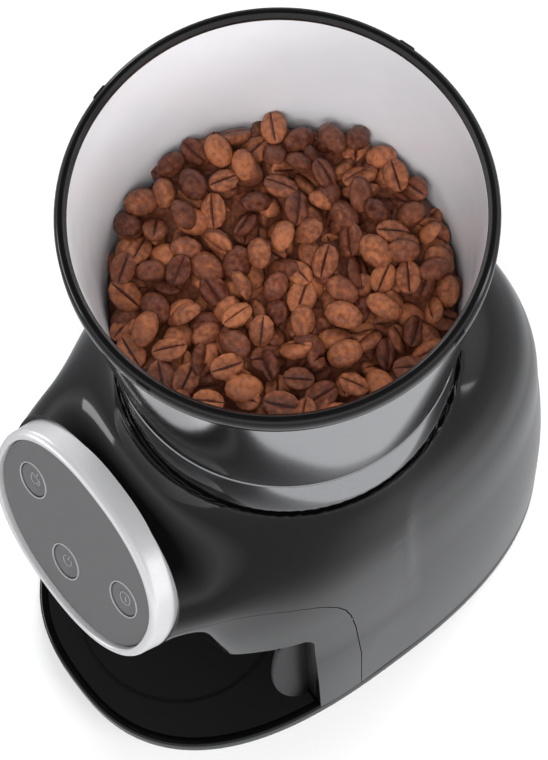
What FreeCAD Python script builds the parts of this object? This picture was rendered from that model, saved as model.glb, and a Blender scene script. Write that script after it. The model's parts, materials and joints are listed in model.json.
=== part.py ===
import FreeCAD, Part
import math
import os

import Sketcher
from FreeCAD import Placement, Rotation, Vector

# Burr coffee grinder with a bean hopper, a button panel and a cup bay.
# +Z is up, the panel faces -Y, and the origin is the middle of the footprint
# at table height. All sizes are in millimetres and degrees.

SIZES = [
    # footprint and base
    ("foot_half_x", 67.0), ("foot_half_y", 102.5), ("corner_power", 2.5), ("foot_high", 3.0),
    ("base_top", 12.0), ("plate_thick", 3.0), ("skirt_wall", 3.0), ("tray_thick", 3.0),
    ("fit_gap", 0.3), ("pad_radius", 7.0), ("pad_x", 42.0), ("pad_y", 62.0),
    # cup bay
    ("seat_y", -52.7), ("seat_radius", 38.9), ("seat_groove_wide", 1.5), ("seat_groove_deep", 1.0),
    ("bay_back_y", -33.5), ("bay_top", 118.0), ("bay_floor_thick", 2.5), ("trim_back_y", -15.5),
    ("trim_knee_y", -40.0), ("trim_knee_z", 164.0), ("trim_slope", 0.25), ("trim_knee_rise", 34.0),
    ("liner_radius", 53.0), ("liner_wall", 2.5),
    # body shell
    ("shell_wall", 2.5), ("neck_top", 219.5), ("neck_radius", 57.0), ("axis_y", 4.5),
    ("neck_bore", 52.5),
    # panel and its buttons
    ("panel_y", -85.7), ("panel_z", 176.2), ("panel_tilt", 24.7), ("bezel_half_x", 43.6),
    ("bezel_half_y", 33.4), ("bezel_deep", 10.0), ("bezel_lip", 3.6), ("bezel_wall", 2.0),
    ("panel_thick", 2.5), ("panel_sunk", 1.0), ("button_radius", 6.1), ("button_x", 25.9),
    ("button_up", 2.5), ("middle_up", -13.2), ("button_travel", 0.8), ("button_tall", 4.6),
    ("ring_wall", 1.1), ("board_depth", 13.5), ("board_thick", 1.6),
    # hopper, collar and band
    ("rim_top", 348.0), ("rim_radius", 65.0), ("rim_tall", 8.0), ("rim_wide", 3.8),
    ("band_radius", 56.0), ("band_bottom", 220.0), ("band_top", 251.3), ("collar_bottom", 252.0),
    ("collar_top", 339.4), ("collar_top_radius", 64.2), ("collar_wall", 1.2), ("cup_gap", 0.4),
    ("cup_wall", 2.0), ("funnel_top", 264.0), ("funnel_low", 226.0), ("throat_radius", 14.0),
    ("throat_end", 212.5), ("sleeve_inside", 47.5), ("sleeve_wall", 2.5), ("sleeve_end", 206.0),
    ("run_gap", 0.4),
    # grinding parts
    ("chamber_radius", 44.0), ("chamber_wall", 2.5), ("chamber_floor", 146.0),
    ("chamber_top", 204.0), ("floor_thick", 3.0), ("carrier_end", 164.0), ("carrier_top", 210.0),
    ("ring_burr_radius", 31.5), ("ring_burr_tall", 20.0), ("burr_bore", 22.0),
    ("burr_mouth", 17.0), ("cone_radius", 20.5), ("cone_tip", 8.0), ("cone_tall", 26.0),
    ("shaft_radius", 4.0), ("sweeper_radius", 38.0), ("bearing_radius", 10.5),
    ("bearing_tall", 6.0),
    # drive
    ("gear_module", 1.25), ("gear_teeth", 63), ("pinion_teeth", 12), ("gear_low", 129.5),
    ("gear_tall", 7.0), ("gearbox_low", 124.0), ("gearbox_plate", 3.0), ("gearbox_top", 140.5),
    ("motor_radius", 29.0), ("motor_top", 121.0), ("motor_tall", 75.0), ("motor_wall", 1.8),
    ("motor_shaft_radius", 2.5), ("armature_radius", 21.0), ("cap_tall", 8.0),
    # discharge chute, boards and cord inlet
    ("chute_wide", 22.0), ("chute_deep", 19.0), ("chute_wall", 1.5), ("chute_low", 112.0),
    ("chute_top", 163.0), ("power_z", 15.0), ("inlet_z", 24.0), ("inlet_radius", 6.0),
    ("cord_bore", 3.6),
]

doc = FreeCAD.newDocument("BurrGrinder")
sheet = doc.addObject("Spreadsheet::Sheet", "sizes")
for row, (alias, number) in enumerate(SIZES, start=1):
    sheet.set("A%d" % row, alias)
    sheet.set("B%d" % row, str(number))
    sheet.setAlias("B%d" % row, alias)
doc.recompute()


class Linked:
    """A length that knows its value and the sheet expression behind it."""

    def __init__(self, value, text):
        self.value = value
        self.text = text

    def __add__(self, other):
        other = linked(other)
        return Linked(self.value + other.value, "(%s + %s)" % (self.text, other.text))

    def __sub__(self, other):
        other = linked(other)
        return Linked(self.value - other.value, "(%s - %s)" % (self.text, other.text))

    def __mul__(self, other):
        other = linked(other)
        return Linked(self.value * other.value, "(%s * %s)" % (self.text, other.text))

    def __truediv__(self, other):
        other = linked(other)
        return Linked(self.value / other.value, "(%s / %s)" % (self.text, other.text))

    def __neg__(self):
        return Linked(-self.value, "(0 - %s)" % self.text)


def linked(size):
    if isinstance(size, Linked):
        return size
    return Linked(float(size), "(%.4f)" % size)


def named(alias):
    return Linked(float(getattr(sheet, alias)), "sizes." + alias)


S = {alias: named(alias) for alias, number in SIZES}
PIECES = []


def keep(piece, label):
    """Give a finished sub-part its own label and list it for export."""
    piece.Label = label
    PIECES.append(piece)
    return piece


# --- helpers for bodies made from bound sketches -------------------------

def origin_item(body, role):
    return next(item for item in body.Origin.OriginFeatures if item.Role == role)


def place(piece, x, y, z, angle=None):
    """Bind a placement to the sheet; angle turns the piece about X."""
    if angle is not None:
        piece.Placement = Placement(Vector(), Rotation(Vector(1, 0, 0), angle.value))
        piece.setExpression("Placement.Rotation.Angle", angle.text)
    for axis, size in zip("xyz", (x, y, z)):
        piece.setExpression("Placement.Base." + axis, linked(size).text)


def bound_profile(body, role, corners):
    """A closed outline of straight lines whose corners are tied to the sheet."""
    sketch = body.newObject("Sketcher::SketchObject", "Profile")
    sketch.AttachmentSupport = [(origin_item(body, role), "")]
    sketch.MapMode = "FlatFace"
    corners = [(linked(u), linked(v)) for u, v in corners]
    spots = [Vector(u.value, v.value, 0) for u, v in corners]
    count = len(spots)
    for i in range(count):
        sketch.addGeometry(Part.LineSegment(spots[i], spots[(i + 1) % count]), False)
    for i in range(count):
        sketch.addConstraint(Sketcher.Constraint("Coincident", i, 2, (i + 1) % count, 1))
    for i, (u, v) in enumerate(corners):
        for kind, size in (("DistanceX", u), ("DistanceY", v)):
            number = sketch.addConstraint(Sketcher.Constraint(kind, -1, 1, i, 1, size.value))
            sketch.setExpression("Constraints[%d]" % number, size.text)
    return sketch


def turned(label, corners, y=None, angle=None, z=0, x=0):
    """A piece turned about an upright axis; corners are radius and height."""
    body = doc.addObject("PartDesign::Body", label)
    sketch = bound_profile(body, "XZ_Plane", corners)
    feature = body.newObject("PartDesign::Revolution", "Turned")
    feature.Profile = sketch
    feature.ReferenceAxis = (sketch, ["V_Axis"])
    feature.Angle = 360
    place(body, x, S["axis_y"] if y is None else y, z, angle)
    return keep(body, label)


def padded(label, corners, thick, x=0, y=0, z=0, angle=None):
    """A straight-sided plate drawn on its underside."""
    body = doc.addObject("PartDesign::Body", label)
    sketch = bound_profile(body, "XY_Plane", corners)
    feature = body.newObject("PartDesign::Pad", "Plate")
    feature.Profile = sketch
    feature.setExpression("Length", linked(thick).text)
    place(body, x, y, z, angle)
    return keep(body, label)


def formed(label, shape):
    """A piece whose curved or repeated form is worked out from the sheet."""
    piece = doc.addObject("Part::Feature", label)
    piece.Shape = shape.removeSplitter()
    return keep(piece, label)


# --- helpers for formed shapes, in plain numbers read from the sheet -----

def size(alias):
    return S[alias].value


def rod(radius, low, high, x=0.0, y=0.0):
    return Part.makeCylinder(radius, high - low, Vector(x, y, low))


def block(x1, x2, y1, y2, z1, z2):
    return Part.makeBox(x2 - x1, y2 - y1, z2 - z1, Vector(x1, y1, z1))


def oval(half_x, front, back, middle_y, z, power_front, power_back, steps=48):
    """A closed superellipse-like curve at one height."""
    points = []
    for i in range(steps):
        turn = 2 * math.pi * i / steps
        across, along = math.cos(turn), math.sin(turn)
        half_y = back - middle_y if along > 0 else middle_y - front
        power = power_back if along > 0 else power_front
        reach = (abs(across / half_x) ** power + abs(along / half_y) ** power) ** (-1 / power)
        points.append(Vector(reach * across, middle_y + reach * along, z))
    curve = Part.BSplineCurve()
    curve.interpolate(points, PeriodicFlag=True)
    return Part.Wire([curve.toShape()])


def slab(wire, tall):
    return Part.Face(wire).extrude(Vector(0, 0, tall))


def footprint(inset, low, high):
    """The base outline, moved inwards and padded between two heights."""
    half_x, half_y = size("foot_half_x") - inset, size("foot_half_y") - inset
    power = size("corner_power")
    return slab(oval(half_x, -half_y, half_y, 0, low, power, power), high - low)


# --- body shell: a domed column with a forward snout ---------------------

def dome_rows():
    """Height, half width, front, back, widest line and front and back power."""
    wide, back = size("foot_half_x"), size("foot_half_y")
    neck, axis, low, top = (size(k) for k in ("neck_radius", "axis_y", "base_top", "neck_top"))
    tall = top - low
    front = axis - neck - 7.0
    return [
        (low, wide, front, back, 0.0, 3.6, 2.5),
        (low + 0.23 * tall, wide, front, back - 1.0, 0.0, 3.6, 2.5),
        (low + 0.52 * tall, wide - 1.0, front, back - 6.0, 0.0, 3.5, 2.5),
        (low + 0.76 * tall, wide - 2.7, front + 1.0, back - 12.5, 0.2 * axis, 3.0, 2.5),
        (low + 0.87 * tall, wide - 4.6, front + 3.0, back - 19.5, 0.5 * axis, 2.5, 2.4),
        (low + 0.95 * tall, wide - 7.2, front + 5.5, back - 30.0, 0.8 * axis, 2.2, 2.2),
        (top, neck, axis - neck, axis + neck, axis, 2.0, 2.0),
    ]


def eased_row(rows, at):
    """Values between given rows, smooth at every row and never past its neighbours."""
    for i in range(len(rows) - 2):
        if at <= rows[i + 1][0]:
            break
    else:
        i = len(rows) - 2
    step = rows[i + 1][0] - rows[i][0]
    share = (at - rows[i][0]) / step
    mixed = []
    for k in range(1, len(rows[0])):
        slopes = []
        for j in (i, i + 1):
            before, after = max(j - 1, 0), min(j + 1, len(rows) - 1)
            rise = rows[after][k] - rows[before][k]
            slopes.append(rise / (rows[after][0] - rows[before][0]) * step)
        a, b = rows[i][k], rows[i + 1][k]
        mixed.append((2 * share ** 3 - 3 * share ** 2 + 1) * a + (3 * share ** 2 - 2 * share ** 3) * b
                     + (share ** 3 - 2 * share ** 2 + share) * slopes[0]
                     + (share ** 3 - share ** 2) * slopes[1])
    return mixed


def dome_slice(z, inset):
    """The column's outline at a height."""
    half_x, front, back, middle, power_front, power_back = eased_row(dome_rows(), z)
    half_x = min(half_x, size("foot_half_x"))
    back = min(back, size("foot_half_y"))
    return oval(half_x - inset, front + inset, back - inset, middle, z, power_front, power_back)


def dome(inset, low_cut, high_cut):
    low, top = size("base_top"), size("neck_top")
    bands = 16
    wires = [dome_slice(low + (top - low) * i / bands, inset) for i in range(bands + 1)]
    solid = Part.makeLoft(wires, True, False)
    return solid.common(block(-200, 200, -200, 200, low_cut, high_cut))


def panel_frame():
    """The panel's own frame: local Z points out of the panel."""
    tilt = Rotation(Vector(1, 0, 0), 90 - size("panel_tilt"))
    return Placement(Vector(0, size("panel_y"), size("panel_z")), tilt)


def snout_section(half_x, half_z, y, z):
    """An upright oval across the snout."""
    wire = oval(half_x, -half_z, half_z, 0, 0, 2.4, 2.4)
    wire.Placement = Placement(Vector(0, y, z), Rotation(Vector(1, 0, 0), 90))
    return wire


def snout(inset):
    bezel = oval(size("bezel_half_x") - 0.5 - inset, inset + 0.5 - size("bezel_half_y"),
                 size("bezel_half_y") - 0.5 - inset, 0, -size("bezel_deep"), 2.3, 2.3)
    bezel.Placement = panel_frame()
    wide = size("foot_half_x")
    low, top = size("bay_top"), size("neck_top")
    rows = [(wide - 19.0, low + 13.0, top - 8.0, -55.0),
            (wide - 13.0, low + 3.0, top - 2.5, size("bay_back_y") - 1.0),
            (wide - 9.0, low - 4.0, top - 2.0, -5.0)]
    wires = [bezel]
    for half_x, bottom, crown, y in rows:
        wires.append(snout_section(half_x - inset, (crown - bottom) / 2 - inset, y,
                                   (crown + bottom) / 2))
    return Part.makeLoft(wires, True, False)


def bay_space(rise):
    """The space in front of the column and under the snout."""
    return block(-200, 200, -200, size("bay_back_y"), -10, size("bay_top") + rise)


def trim_region():
    """Everything in front of and below the parting line of the trim."""
    back, knee_y, knee_z = (size(k) for k in ("trim_back_y", "trim_knee_y", "trim_knee_z"))
    rise = size("trim_knee_rise")
    far = -150.0
    start = Vector(0, back, knee_z - rise)
    end = Vector(0, knee_y, knee_z)
    bulge = 0.41
    turn = Vector(0, back - bulge * (back - knee_y), knee_z - bulge * rise)
    front = Vector(0, far, knee_z + size("trim_slope") * (knee_y - far))
    edges = [Part.LineSegment(Vector(0, back, 0), start).toShape(), Part.Arc(start, turn, end).toShape(),
             Part.LineSegment(end, front).toShape(), Part.LineSegment(front, Vector(0, far, 0)).toShape(),
             Part.LineSegment(Vector(0, far, 0), Vector(0, back, 0)).toShape()]
    face = Part.Face(Part.Wire(edges))
    face.translate(Vector(-200, 0, 0))
    return face.extrude(Vector(400, 0, 0))


def hollow_shell():
    low, top = size("base_top"), size("neck_top")
    wall, axis = size("shell_wall"), size("axis_y")
    outer = dome(0, low, top).cut(bay_space(0)).fuse(snout(0))
    outer = outer.cut(block(-200, 200, -200, 200, top, top + 80))
    room = dome(wall, low, top - wall).cut(bay_space(size("bay_floor_thick")))
    reach = snout(wall)
    shell = outer.cut(room.fuse(reach))
    shell = shell.cut(rod(size("neck_bore"), top - 30, top + 30, 0, axis))
    chute = chute_tube(size("fit_gap"), size("chute_low"), size("chute_top"))
    return shell.cut(chute)


def chute_tube(grow, low, high):
    half = size("chute_wide") / 2 + grow
    middle, deep = size("seat_y"), size("chute_deep") / 2 + grow
    return block(-half, half, middle - deep, middle + deep, low, high)


def make_shells():
    whole = hollow_shell()
    region = trim_region()
    wall = size("shell_wall")
    inlet = Part.makeCylinder(size("inlet_radius") - 1.0, 30,
                              Vector(0, size("foot_half_y") - 20, size("inlet_z")),
                              Vector(0, 1, 0))
    largest = max(whole.cut(region).cut(inlet).Solids, key=lambda solid: solid.Volume)
    formed("main_shell", largest)
    trim = max(whole.common(region).Solids, key=lambda solid: solid.Volume)
    formed("bay_trim", trim)
    low, high = size("base_top"), size("bay_top")
    inside, outside = size("liner_radius"), size("liner_radius") + size("liner_wall")
    seat, back = size("seat_y"), size("bay_back_y")
    arc = rod(outside, low, high, 0, seat).cut(block(-200, 200, -200, seat + 4, low, high))
    front = dome(wall + size("fit_gap"), low, high)
    front = front.common(block(-200, 200, back, back + size("liner_wall"), low, high))
    liner = arc.fuse(front).cut(rod(inside, low - 1, high + 1, 0, seat))
    formed("bay_liner", liner)


def make_base():
    low, top, wall = size("foot_high"), size("base_top"), size("skirt_wall")
    gap = size("fit_gap")
    skirt = footprint(0, low, top)
    rim_edges = [e for e in skirt.Edges if abs(e.BoundBox.ZMin - low) < 0.01
                 and e.BoundBox.ZLength < 0.01]
    skirt = skirt.makeChamfer(1.2, rim_edges)
    formed("base_skirt", skirt.cut(footprint(wall, low - 1, top + 1)))
    posts_hole = [rod(2.2, low - 1, top, x, y) for x, y in post_spots()]
    plate = footprint(wall + gap, low, low + size("plate_thick"))
    for hole in posts_hole:
        plate = plate.cut(hole)
    formed("base_plate", plate)
    seat, seat_r = size("seat_y"), size("seat_radius")
    back = size("bay_back_y")
    tray_low = top - size("tray_thick")
    reach = block(-200, 200, -200, back - gap, tray_low, top)
    reach = reach.fuse(rod(size("liner_radius") - gap, tray_low, top, 0, seat))
    tray = footprint(wall + gap, tray_low, top).common(reach)
    groove = rod(seat_r, top - size("seat_groove_deep"), top + 1, 0, seat)
    groove = groove.cut(rod(seat_r - size("seat_groove_wide"), 0, top + 2, 0, seat))
    legs = [rod(4, low + size("plate_thick"), tray_low + 1, x, y)
            for x in (-30, 30) for y in (seat - 18, seat + 22)]
    for leg in legs:
        tray = tray.fuse(leg)
    formed("base_tray", tray.cut(groove))
    pads = []
    for x in (-size("pad_x"), size("pad_x")):
        for y in (-size("pad_y"), size("pad_y")):
            pad = rod(size("pad_radius"), 0, low, x, y)
            pads.append(pad.makeChamfer(0.6, [pad.Edges[2]]))
    formed("rubber_feet", Part.makeCompound(pads))


def post_spots():
    return [(x * side, y) for x, y in ((50.0, 18.0), (34.0, 70.0)) for side in (-1, 1)]


def make_posts():
    low = size("foot_high") + size("plate_thick")
    high = size("gearbox_low")
    posts, screws = [], []
    for x, y in post_spots():
        post = rod(5.0, low, high, x, y)
        posts.append(post.cut(rod(1.9, low - 1, low + 14, x, y)))
        head = rod(3.8, size("foot_high") - 2.0, size("foot_high"), x, y)
        screws.append(head.fuse(rod(1.8, size("foot_high") - 1, low + 10, x, y)))
    formed("frame_posts", Part.makeCompound(posts))
    formed("base_screws", Part.makeCompound(screws))


# --- panel, bezel and buttons --------------------------------------------

def panel_oval(shrink, low, high, power=2.2):
    half_x, half_y = size("bezel_half_x") - shrink, size("bezel_half_y") - shrink
    return slab(oval(half_x, -half_y, half_y, 0, low, power, power), high - low)


def button_spots():
    return {
        "left_button": (-S["button_x"], S["button_up"]),
        "right_button": (S["button_x"], S["button_up"]),
        "middle_button": (linked(0), S["middle_up"]),
    }


def make_panel():
    frame = panel_frame()
    deep, lip, wall = size("bezel_deep"), size("bezel_lip"), size("bezel_wall")
    back = oval(size("bezel_half_x"), -size("bezel_half_y"), size("bezel_half_y"), 0, -deep,
                2.3, 2.3)
    waist = size("bezel_half_x") - 0.9
    waist_y = size("bezel_half_y") - 0.9
    front = oval(waist, -waist_y, waist_y, 0, 0, 2.3, 2.3)
    crown = oval(waist - 1.6, 1.6 - waist_y, waist_y - 1.6, 0, 1.2, 2.3, 2.3)
    bezel = Part.makeLoft([back, front], True, True).fuse(Part.makeLoft([front, crown], True, True))
    bezel = bezel.cut(panel_oval(lip, -deep - 1, 5))
    floor = -size("panel_sunk") - size("panel_thick")
    bezel = bezel.cut(panel_oval(wall + 1.2, -deep - 1, floor + 2.0))
    bezel.Placement = frame
    formed("bezel", bezel)
    sunk, thick = size("panel_sunk"), size("panel_thick")
    panel = panel_oval(lip + size("fit_gap"), -sunk - thick, -sunk)
    panel = panel.fuse(panel_oval(wall + 1.5, -sunk - thick, -sunk - thick + 1.7))
    board_top = -size("board_depth")
    for x in (-31, 31):
        for y in (-11, 14):
            panel = panel.fuse(rod(2.2, board_top, -sunk - thick + 0.5, x, y))
    rings = []
    for x, y in button_spots().values():
        hole = size("button_radius") + size("run_gap")
        panel = panel.cut(rod(hole, -20, 5, x.value, y.value))
        ring = rod(hole + size("ring_wall"), -sunk, -sunk + 0.6, x.value, y.value)
        rings.append(ring.cut(rod(hole, -20, 5, x.value, y.value)))
    panel.Placement = frame
    formed("control_panel", panel)
    group = Part.makeCompound(rings)
    group.Placement = frame
    formed("button_rings", group)
    board = block(-32, 32, -16, 18, board_top - size("board_thick"), board_top)
    board.Placement = frame
    formed("control_board", board)
    cells = []
    stem_top = -sunk - size("button_tall") - size("button_travel") - 0.4
    for x, y in button_spots().values():
        cell = block(x.value - 3, x.value + 3, y.value - 3, y.value + 3, board_top,
                     board_top + 3.5)
        cells.append(cell.fuse(rod(1.7, board_top + 3, stem_top, x.value, y.value)))
    group = Part.makeCompound(cells)
    group.Placement = frame
    formed("tact_switches", group)


def make_buttons():
    tilt = 90 - S["panel_tilt"].value
    for label, (x, up) in button_spots().items():
        top = -S["panel_sunk"] - 0.3
        low = -S["panel_sunk"] - S["button_tall"]
        body = doc.addObject("PartDesign::Body", label)
        edge = S["button_radius"]
        sketch = bound_profile(body, "XZ_Plane", [(0, low), (edge + 1.2, low), (edge + 1.2, low + 1),
                                                  (edge, low + 1), (edge, top), (edge - 0.6, top),
                                                  (edge - 2.2, top - 0.5), (0, top - 0.5)])
        feature = body.newObject("PartDesign::Revolution", "Turned")
        feature.Profile = sketch
        feature.ReferenceAxis = (sketch, ["V_Axis"])
        feature.Angle = 360
        body.Placement = Placement(Vector(), Rotation(Vector(1, 0, 0), tilt))
        body.setExpression("Placement.Rotation.Angle", "90 - sizes.panel_tilt")
        body.setExpression("Placement.Base.x", x.text)
        rise = "%s * sin(sizes.panel_tilt * 1 deg)" % up.text
        body.setExpression("Placement.Base.y", "sizes.panel_y + " + rise)
        rise = "%s * cos(sizes.panel_tilt * 1 deg)" % up.text
        body.setExpression("Placement.Base.z", "sizes.panel_z + " + rise)
        keep(body, label)


# --- hopper, collar and band ---------------------------------------------

def collar_radius(z):
    """Outer radius of the flared collar at a height."""
    slope = (S["collar_top_radius"] - S["band_radius"]) / (S["collar_top"] - S["collar_bottom"])
    return S["band_radius"] + (linked(z) - S["collar_bottom"]) * slope


def make_hopper():
    bottom, top = S["collar_bottom"], S["collar_top"]
    wall, gap, cup = S["collar_wall"], S["cup_gap"], S["cup_wall"]
    turned("grip_collar", [
        (collar_radius(bottom) - wall, bottom), (collar_radius(bottom), bottom),
        (collar_radius(top), top), (collar_radius(top) - wall, top)])
    inside, outside = S["sleeve_inside"], S["sleeve_inside"] + S["sleeve_wall"]
    turned("adjuster_sleeve", [
        (inside, S["sleeve_end"]), (outside, S["sleeve_end"]), (outside, bottom),
        (collar_radius(bottom) - wall, bottom), (collar_radius(bottom) - wall, bottom + 2),
        (inside, bottom + 2)])
    rim_low = S["rim_top"] - S["rim_tall"]
    cup_top = S["rim_top"] - 3
    skin = wall + gap
    funnel, low = S["funnel_top"], S["funnel_low"]
    throat = S["throat_radius"]
    turned("hopper_cup", [
        (collar_radius(cup_top) - skin, cup_top), (collar_radius(cup_top) - skin - cup, cup_top),
        (collar_radius(funnel) - skin - cup, funnel), (throat, low), (throat, S["throat_end"]),
        (throat + cup, S["throat_end"]), (throat + cup, low - 1.2),
        (collar_radius(funnel) - skin - 0.3, funnel - 2.6), (collar_radius(funnel) - skin, funnel)])
    inner = S["rim_radius"] - S["rim_wide"]
    ledge = collar_radius(cup_top) - skin
    turned("hopper_rim", [
        (ledge, rim_low), (S["rim_radius"] - 0.6, rim_low), (S["rim_radius"], rim_low + 0.8),
        (S["rim_radius"], S["rim_top"] - 1.2), (S["rim_radius"] - 1.2, S["rim_top"]),
        (inner + 0.8, S["rim_top"]), (inner, S["rim_top"] - 0.8), (inner, cup_top),
        (ledge, cup_top)])
    turned("band_ring", [
        (S["neck_bore"], S["band_bottom"]), (S["band_radius"], S["band_bottom"]),
        (S["band_radius"], S["band_top"]), (S["neck_bore"], S["band_top"])])


# --- grinding chamber and burrs ------------------------------------------

def make_chamber():
    axis, radius, wall = size("axis_y"), size("chamber_radius"), size("chamber_wall")
    low, top, floor = size("chamber_floor"), size("chamber_top"), size("floor_thick")
    pot = rod(radius, low, top, 0, axis).cut(rod(radius - wall, low + floor, top + 1, 0, axis))
    pot = pot.fuse(rod(size("bearing_radius") + 3, low - 4, low + 1, 0, axis))
    pot = pot.cut(rod(size("bearing_radius"), low - 5, low + size("bearing_tall") - 4, 0, axis))
    pot = pot.cut(rod(size("shaft_radius") + 1.2, low - 5, top, 0, axis))
    half = size("chute_wide") / 2 - size("chute_wall")
    mouth_top = size("chute_top") - size("chute_wall")
    gate = block(-half, half, axis - radius - 5, axis - radius + 12, low + floor, mouth_top)
    pot = pot.cut(gate)
    for x in (-34.0, 34.0):
        ear = rod(5.5, low, low + 4, x * 1.33, axis + 12)
        pot = pot.fuse(ear).cut(rod(1.7, low - 1, low + 5, x * 1.33, axis + 12))
    pot = pot.cut(rod(radius - wall, low + floor, top + 1, 0, axis))
    formed("grinding_chamber", pot)
    wall = size("chute_wall")
    tube = chute_tube(0, size("chute_low"), size("chute_top"))
    tube = tube.cut(chute_tube(-wall, size("chute_low") - 1, size("chute_top") - wall))
    seat, deep = size("seat_y"), size("chute_deep") / 2
    front = axis - radius
    throat = block(-half - wall, half + wall, seat + deep - 1, front + 4, low + floor - wall,
                   size("chute_top"))
    throat = throat.cut(block(-half, half, seat, front + 6, low + floor, mouth_top))
    chute = tube.fuse(throat).cut(block(-half, half, seat, front + 6, low + floor, mouth_top))
    chute = chute.cut(rod(radius, low - 1, size("chute_top") + 1, 0, axis))
    formed("discharge_chute", chute)


def burr_grooves(count, radius, low, high, lean, width):
    """Slanted cutting grooves around the burr axis."""
    tools = []
    axis = size("axis_y")
    for i in range(count):
        tool = Part.makeBox(width, width, (high - low) * 1.5,
                            Vector(-width / 2, -width / 2, -(high - low) * 0.25))
        tool.rotate(Vector(), Vector(0, 0, 1), 45)
        tool.rotate(Vector(), Vector(1, 0, 0), lean)
        tool.translate(Vector(radius, 0, low))
        tool.rotate(Vector(), Vector(0, 0, 1), 360.0 * i / count)
        tool.translate(Vector(0, axis, 0))
        tools.append(tool)
    return Part.makeCompound(tools)


def make_burrs():
    axis = size("axis_y")
    low = size("carrier_end")
    tall = size("ring_burr_tall")
    shaft = size("shaft_radius")
    mouth, bore = size("burr_mouth"), size("burr_bore")
    ring = rod(size("ring_burr_radius"), low, low + tall, 0, axis)
    cavity = Part.makeCone(bore, mouth, tall, Vector(0, axis, low))
    ring = ring.cut(cavity)
    ring = ring.cut(burr_grooves(16, bore + 0.6, low - 1, low + tall, 18, 2.4))
    formed("ring_burr", max(ring.Solids, key=lambda solid: solid.Volume))
    cone_low = low - 2
    radius, tip, cone_tall = size("cone_radius"), size("cone_tip"), size("cone_tall")
    cone = Part.makeCone(radius, tip, cone_tall, Vector(0, axis, cone_low))
    cone = cone.cut(burr_grooves(12, radius - 1.2, cone_low - 1, cone_low + 12, -20, 2.6))
    hub_low = size("chamber_floor") + size("floor_thick") + 4
    cone = cone.fuse(rod(9, hub_low, cone_low + 1, 0, axis))
    cone = cone.cut(rod(shaft, hub_low - 1, cone_low + cone_tall + 1, 0, axis))
    formed("cone_burr", max(cone.Solids, key=lambda solid: solid.Volume))
    nut = rod(5.5, cone_low + cone_tall, cone_low + cone_tall + 3, 0, axis)
    formed("burr_nut", nut.makeFillet(1.2, [nut.Edges[0]]))
    plate_low = hub_low - 3
    sweep = rod(size("sweeper_radius"), plate_low, plate_low + 1.6, 0, axis)
    for i in range(6):
        fin = block(12, size("sweeper_radius") - 0.5, -1, 1, plate_low + 1, plate_low + 7)
        fin.rotate(Vector(), Vector(0, 0, 1), 60.0 * i)
        fin.translate(Vector(0, axis, 0))
        sweep = sweep.fuse(fin)
    sweep = sweep.fuse(rod(9, plate_low, hub_low, 0, axis))
    formed("sweeper", sweep.cut(rod(shaft, plate_low - 1, hub_low + 1, 0, axis)))
    outer = S["chamber_radius"] - S["chamber_wall"] - S["run_gap"]
    flange = S["sleeve_inside"] - S["run_gap"]
    shelf = S["carrier_end"] + S["ring_burr_tall"]
    lip = S["carrier_top"] - 2.5
    turned("burr_carrier", [
        (S["ring_burr_radius"], S["carrier_end"]), (outer, S["carrier_end"]), (outer, lip),
        (flange, lip), (flange, S["carrier_top"]), (S["burr_mouth"] + 9, S["carrier_top"]),
        (S["burr_mouth"] + 1, S["carrier_top"] - 14), (S["burr_mouth"] + 1, shelf),
        (S["ring_burr_radius"], shelf)])


# --- gearbox, shafts and motor -------------------------------------------

def gear_shape(teeth, bore, low, tall, x, y, phase):
    """A spur gear with involute flanks, slightly thinned for backlash."""
    module = size("gear_module")
    pitch = module * teeth / 2
    base = pitch * math.cos(math.radians(20))
    tip, root = pitch + module * 0.92, pitch - module * 1.2
    inv_pitch = math.tan(math.radians(20)) - math.radians(20)
    half_tooth = math.pi / (2 * teeth) - 0.05 / pitch
    points = []
    for i in range(teeth):
        centre = 2 * math.pi * i / teeth + phase
        flank = []
        for j in range(5):
            reach = max(base, root) + (tip - max(base, root)) * j / 4
            pressure = math.acos(min(1.0, base / reach))
            angle = half_tooth + inv_pitch - (math.tan(pressure) - pressure)
            flank.append((reach, angle))
        foot = (root, flank[0][1])
        for reach, angle in [foot] + flank:
            points.append((reach, centre - angle))
        for reach, angle in flank[::-1] + [foot]:
            points.append((reach, centre + angle))
    spots = [Vector(x + r * math.cos(a), y + r * math.sin(a), low) for r, a in points]
    face = Part.Face(Part.makePolygon(spots + spots[:1]))
    return face.extrude(Vector(0, 0, tall)).cut(rod(bore, low - 1, low + tall + 1, x, y))


def motor_y():
    teeth = size("gear_teeth") + size("pinion_teeth")
    return size("axis_y") + size("gear_module") * teeth / 2


def linked_motor_y():
    return S["axis_y"] + S["gear_module"] * (S["gear_teeth"] + S["pinion_teeth"]) / 2


def make_gears():
    axis, low, tall = size("axis_y"), size("gear_low"), size("gear_tall")
    big = int(size("gear_teeth"))
    small = int(size("pinion_teeth"))
    gear = gear_shape(big, size("shaft_radius"), low, tall, 0, axis, math.pi / 2)
    for i in range(6):
        spoke = rod(8.0, low - 1, low + tall + 1, 22.0, 0)
        spoke.rotate(Vector(), Vector(0, 0, 1), 60.0 * i + 30)
        spoke.translate(Vector(0, axis, 0))
        gear = gear.cut(spoke)
    formed("drive_gear", gear)
    turn = -math.pi / 2 + math.pi / small
    pinion = gear_shape(small, size("motor_shaft_radius"), low - 0.5, tall + 1, 0, motor_y(), turn)
    formed("motor_pinion", pinion)


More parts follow.
